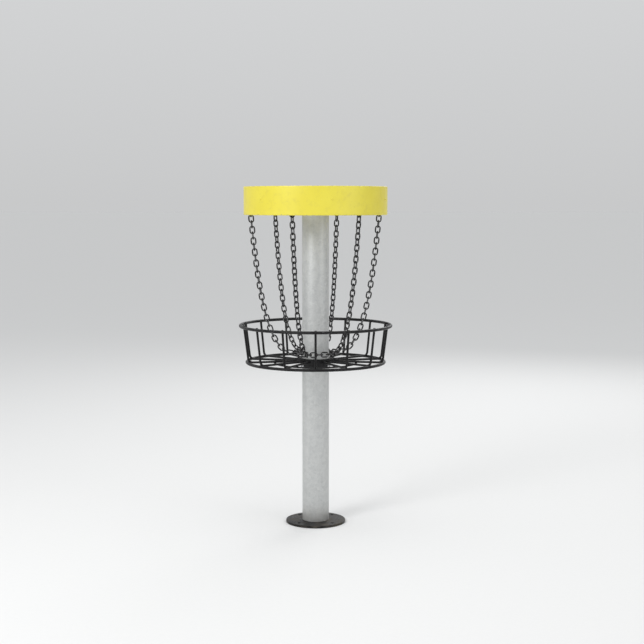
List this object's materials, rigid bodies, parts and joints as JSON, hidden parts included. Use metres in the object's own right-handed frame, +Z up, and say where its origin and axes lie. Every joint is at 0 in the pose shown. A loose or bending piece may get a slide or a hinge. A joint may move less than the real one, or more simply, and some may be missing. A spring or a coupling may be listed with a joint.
{
  "type": "disc golf basket",
  "caption": "Disc golf basket: sheet-metal band, hanging chains and an open wire basket on a pole with a bolt-down base plate.",
  "frame": {"origin": "on the pole's axis, at the underside of the base plate", "axes": "+Z up along the pole, -Y towards the front, +X to the front viewer's right"},
  "size_m": [0.6545, 0.6544, 1.441],
  "materials": {
    "steel_base": "satin",
    "galvanised": "satin",
    "plastic_cap": "matte",
    "screw_steel": "satin",
    "black_wire": "satin",
    "yellow_band": "satin",
    "dark_chain": "satin"
  },
  "bodies": {
    "stand": {"base_plate": "steel_base", "pole_spigot": "steel_base", "pole": "galvanised", "top_hub": "galvanised", "chain_hanger_ring": "galvanised", "support_arm_1": "galvanised", "support_arm_2": "galvanised", "support_arm_3": "galvanised", "support_arm_4": "galvanised", "support_arm_5": "galvanised", "support_arm_6": "galvanised", "pole_cap": "plastic_cap", "base_screw_1": "screw_steel", "base_screw_2": "screw_steel", "collar_screw_1": "screw_steel", "collar_screw_2": "screw_steel", "collar_screw_3": "screw_steel", "hub_screw_1": "screw_steel", "hub_screw_2": "screw_steel", "hub_screw_3": "screw_steel", "basket_rim": "black_wire", "basket_base_ring": "black_wire", "basket_floor_ring": "black_wire", "basket_collar": "black_wire", "basket_wire_01": "black_wire", "basket_wire_02": "black_wire", "basket_wire_03": "black_wire", "basket_wire_04": "black_wire", "basket_wire_05": "black_wire", "basket_wire_06": "black_wire", "basket_wire_07": "black_wire", "basket_wire_08": "black_wire", "basket_wire_09": "black_wire", "basket_wire_10": "black_wire", "basket_wire_11": "black_wire", "basket_wire_12": "black_wire", "basket_wire_13": "black_wire", "basket_wire_14": "black_wire", "top_band": "yellow_band", "band_rivet_1": "yellow_band", "band_rivet_2": "yellow_band", "band_rivet_3": "yellow_band", "band_rivet_4": "yellow_band", "band_rivet_5": "yellow_band", "band_rivet_6": "yellow_band", "chain_collector": "dark_chain"},
    "chain_1": {"chain_strand_1": "dark_chain", "s_hook_1": "dark_chain"},
    "chain_2": {"chain_strand_2": "dark_chain", "s_hook_2": "dark_chain"},
    "chain_3": {"chain_strand_3": "dark_chain", "s_hook_3": "dark_chain"},
    "chain_4": {"chain_strand_4": "dark_chain", "s_hook_4": "dark_chain"},
    "chain_5": {"chain_strand_5": "dark_chain", "s_hook_5": "dark_chain"},
    "chain_6": {"chain_strand_6": "dark_chain", "s_hook_6": "dark_chain"}
  },
  "joints": [
    {"name": "chain_1_swing", "type": "hinge", "parent": "stand", "child": "chain_1", "pos_m": [-0.09577, -0.26311, 1.36745], "axis": [-0.0947, -0.2602, 0.9609], "range_deg": [-25, 25]},
    {"name": "chain_2_swing", "type": "hinge", "parent": "stand", "child": "chain_2", "pos_m": [0.17998, -0.21449, 1.36745], "axis": [0.178, -0.2121, 0.9609], "range_deg": [-25, 25]},
    {"name": "chain_3_swing", "type": "hinge", "parent": "stand", "child": "chain_3", "pos_m": [0.27575, 0.04862, 1.36745], "axis": [0.2727, 0.0481, 0.9609], "range_deg": [-25, 25]},
    {"name": "chain_4_swing", "type": "hinge", "parent": "stand", "child": "chain_4", "pos_m": [0.09577, 0.26311, 1.36745], "axis": [0.0947, 0.2602, 0.9609], "range_deg": [-25, 25]},
    {"name": "chain_5_swing", "type": "hinge", "parent": "stand", "child": "chain_5", "pos_m": [-0.17998, 0.21449, 1.36745], "axis": [-0.178, 0.2121, 0.9609], "range_deg": [-25, 25]},
    {"name": "chain_6_swing", "type": "hinge", "parent": "stand", "child": "chain_6", "pos_m": [-0.27575, -0.04862, 1.36745], "axis": [-0.2727, -0.0481, 0.9609], "range_deg": [-25, 25]}
  ]
}
